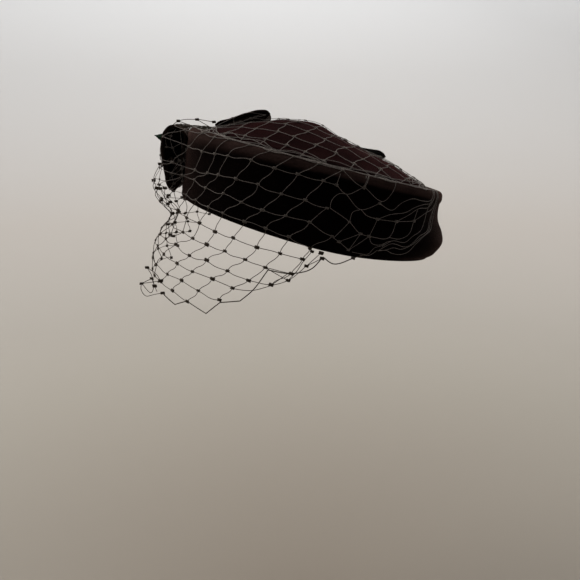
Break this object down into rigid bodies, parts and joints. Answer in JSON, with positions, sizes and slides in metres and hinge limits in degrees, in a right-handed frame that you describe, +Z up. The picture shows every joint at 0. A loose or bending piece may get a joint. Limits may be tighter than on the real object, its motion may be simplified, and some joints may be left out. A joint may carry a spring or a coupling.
{
  "type": "pillbox hat",
  "caption": "Felt pillbox hat with a low domed crown and a turned-up cuff, trimmed with ribbon loops and a leaf at the front, and a knotted net veil that hangs over the brow.",
  "frame": {"origin": "middle of the oval head opening, in the plane of the cuff's lower edge", "axes": "+Z is up with the hat worn tilted back, -X is the wearer's front, where the ribbon loops are, and -Y is the wearer's left"},
  "size_m": [0.2152, 0.168, 0.1253],
  "materials": {
    "felt": "dark brown wool felt with a short velvety nap",
    "ribbon": "dark brown velvet ribbon, matt inside the folds",
    "leaf": "dark green stiffened cloth with a faint sheen",
    "netting": "brown knotted thread with small fuzzy knots"
  },
  "bodies": {
    "root": {"crown": "felt", "cuff": "felt", "front_loop": "ribbon", "top_loop": "ribbon", "far_loop": "ribbon", "leaf": "leaf", "veil": "netting"}
  },
  "joints": []
}
